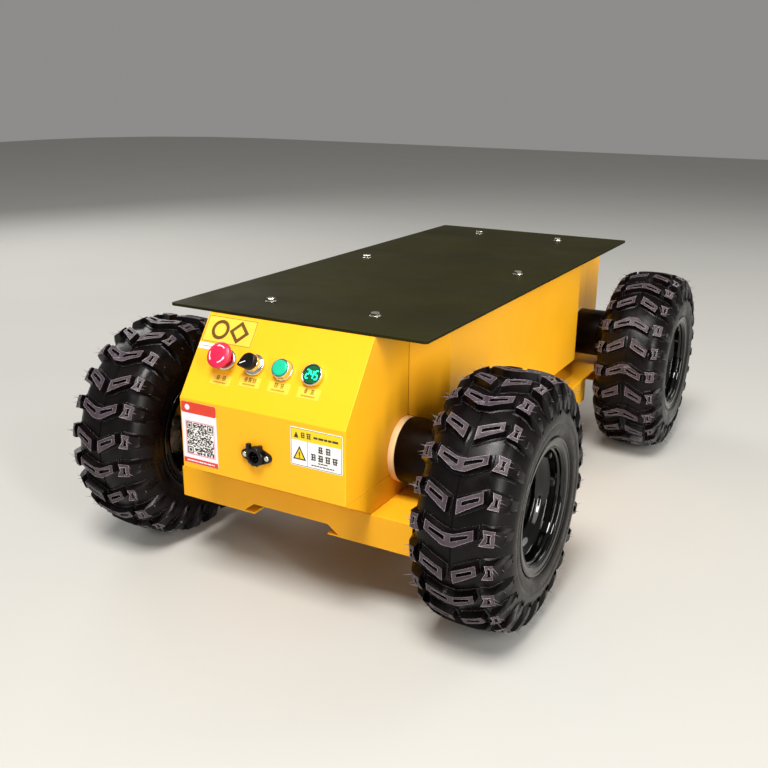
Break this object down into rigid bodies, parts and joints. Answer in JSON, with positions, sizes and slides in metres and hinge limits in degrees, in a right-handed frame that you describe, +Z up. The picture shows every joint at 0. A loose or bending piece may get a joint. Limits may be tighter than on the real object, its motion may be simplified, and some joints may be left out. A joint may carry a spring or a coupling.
{
  "type": "four wheel robot chassis",
  "caption": "Skid-steer robot chassis with a folded sheet body, flat payload deck, driven pneumatic wheels and a control panel on its sloped nose.",
  "frame": {"origin": "on the ground, midway between the four wheels", "axes": "+Z up, the robot drives towards -Y, +X is its left-hand side"},
  "size_m": [0.7, 1.112, 0.4036],
  "materials": {
    "yellow_paint": "semi-gloss powder coat, slight orange peel",
    "deck_paint": "matt fine-textured powder coat with light scuffs",
    "tyre_rubber": "new moulded rubber, satin, with moulding hairs",
    "rim_paint": "gloss black enamel on pressed steel",
    "machined_steel": "turned and hobbed steel, lightly oiled",
    "bright_steel": "bright zinc or nickel plate",
    "drive_paint": "semi-gloss black paint",
    "ring_enamel": "cream gloss paint",
    "red_plastic": "gloss moulded plastic",
    "green_plastic": "translucent-looking gloss plastic",
    "black_plastic": "satin moulded plastic",
    "battery_case": "shrink-sleeved battery case",
    "cast_alloy": "finned cast aluminium"
  },
  "bodies": {
    "chassis": {"base_tray": "yellow_paint", "base_curb": "yellow_paint", "side_wall_left": "yellow_paint", "side_wall_right": "yellow_paint", "front_hood": "yellow_paint", "rear_cover": "yellow_paint", "rear_deck_bar": "yellow_paint", "deck_plate": "deck_paint", "deck_bolt_1": "bright_steel", "deck_bolt_2": "bright_steel", "deck_bolt_3": "bright_steel", "deck_bolt_4": "bright_steel", "deck_bolt_5": "bright_steel", "deck_bolt_6": "bright_steel", "gear_case_front_left": "drive_paint", "gearbox_front_left": "drive_paint", "mounting_ring_front_left": "ring_enamel", "motor_front_left": "drive_paint", "gear_case_front_right": "drive_paint", "gearbox_front_right": "drive_paint", "mounting_ring_front_right": "ring_enamel", "motor_front_right": "drive_paint", "gear_case_rear_left": "drive_paint", "gearbox_rear_left": "drive_paint", "mounting_ring_rear_left": "ring_enamel", "motor_rear_left": "drive_paint", "gear_case_rear_right": "drive_paint", "gearbox_rear_right": "drive_paint", "mounting_ring_rear_right": "ring_enamel", "motor_rear_right": "drive_paint", "estop_collar": "bright_steel", "selector_collar": "bright_steel", "start_collar": "bright_steel", "voltmeter": "black_plastic", "charge_socket": "black_plastic", "battery_pack": "battery_case", "motor_controller": "cast_alloy", "receiver": "black_plastic"},
    "wheel_front_left": {"tyre_front_left": "tyre_rubber", "rim_front_left": "rim_paint", "hub_front_left": "machined_steel"},
    "pinion_front_left": {"pinion_front_left": "machined_steel"},
    "wheel_front_right": {"tyre_front_right": "tyre_rubber", "rim_front_right": "rim_paint", "hub_front_right": "machined_steel"},
    "pinion_front_right": {"pinion_front_right": "machined_steel"},
    "wheel_rear_left": {"tyre_rear_left": "tyre_rubber", "rim_rear_left": "rim_paint", "hub_rear_left": "machined_steel"},
    "pinion_rear_left": {"pinion_rear_left": "machined_steel"},
    "wheel_rear_right": {"tyre_rear_right": "tyre_rubber", "rim_rear_right": "rim_paint", "hub_rear_right": "machined_steel"},
    "pinion_rear_right": {"pinion_rear_right": "machined_steel"},
    "estop_slider": {"estop_plunger": "black_plastic"},
    "estop_mushroom": {"estop_button": "red_plastic"},
    "selector": {"selector_knob": "black_plastic"},
    "start": {"start_button": "green_plastic"}
  },
  "joints": [
    {"name": "wheel_front_left_spin", "type": "hinge", "parent": "chassis", "child": "wheel_front_left", "pos_m": [0.284, -0.381, 0.175], "axis": [1, 0, 0], "continuous": true},
    {"name": "pinion_front_left_spin", "type": "hinge", "parent": "chassis", "child": "pinion_front_left", "pos_m": [0.227, -0.381, 0.215], "axis": [1, 0, 0], "continuous": true},
    {"name": "wheel_front_right_spin", "type": "hinge", "parent": "chassis", "child": "wheel_front_right", "pos_m": [-0.284, -0.381, 0.175], "axis": [1, 0, 0], "continuous": true},
    {"name": "pinion_front_right_spin", "type": "hinge", "parent": "chassis", "child": "pinion_front_right", "pos_m": [-0.227, -0.381, 0.215], "axis": [1, 0, 0], "continuous": true},
    {"name": "wheel_rear_left_spin", "type": "hinge", "parent": "chassis", "child": "wheel_rear_left", "pos_m": [0.284, 0.381, 0.175], "axis": [1, 0, 0], "continuous": true},
    {"name": "pinion_rear_left_spin", "type": "hinge", "parent": "chassis", "child": "pinion_rear_left", "pos_m": [0.227, 0.381, 0.215], "axis": [1, 0, 0], "continuous": true},
    {"name": "wheel_rear_right_spin", "type": "hinge", "parent": "chassis", "child": "wheel_rear_right", "pos_m": [-0.284, 0.381, 0.175], "axis": [1, 0, 0], "continuous": true},
    {"name": "pinion_rear_right_spin", "type": "hinge", "parent": "chassis", "child": "pinion_rear_right", "pos_m": [-0.227, 0.381, 0.215], "axis": [1, 0, 0], "continuous": true},
    {"name": "estop_press", "type": "slide", "parent": "chassis", "child": "estop_slider", "axis": [0, -0.8202, 0.5721], "range_m": [-0.005, 0], "stiffness_N_per_m": 1500, "springref_m": 0.004},
    {"name": "estop_twist", "type": "hinge", "parent": "estop_slider", "child": "estop_mushroom", "pos_m": [-0.0758, -0.49911, 0.34085], "axis": [0, -0.8202, 0.5721], "range_deg": [-45, 0], "stiffness_Nm_per_rad": 0.3, "springref_deg": 5.73},
    {"name": "selector_turn", "type": "hinge", "parent": "chassis", "child": "selector", "pos_m": [-0.0291, -0.49911, 0.34085], "axis": [0, -0.8202, 0.5721], "range_deg": [-90, 0]},
    {"name": "start_press", "type": "slide", "parent": "chassis", "child": "start", "axis": [0, -0.8202, 0.5721], "range_m": [-0.0035, 0], "stiffness_N_per_m": 800, "springref_m": 0.003}
  ],
  "couplings": [
    {"joint": "pinion_front_left_spin", "follows": "wheel_front_left_spin", "ratio": -1.6667},
    {"joint": "pinion_front_right_spin", "follows": "wheel_front_right_spin", "ratio": -1.6667},
    {"joint": "pinion_rear_left_spin", "follows": "wheel_rear_left_spin", "ratio": -1.6667},
    {"joint": "pinion_rear_right_spin", "follows": "wheel_rear_right_spin", "ratio": -1.6667}
  ]
}
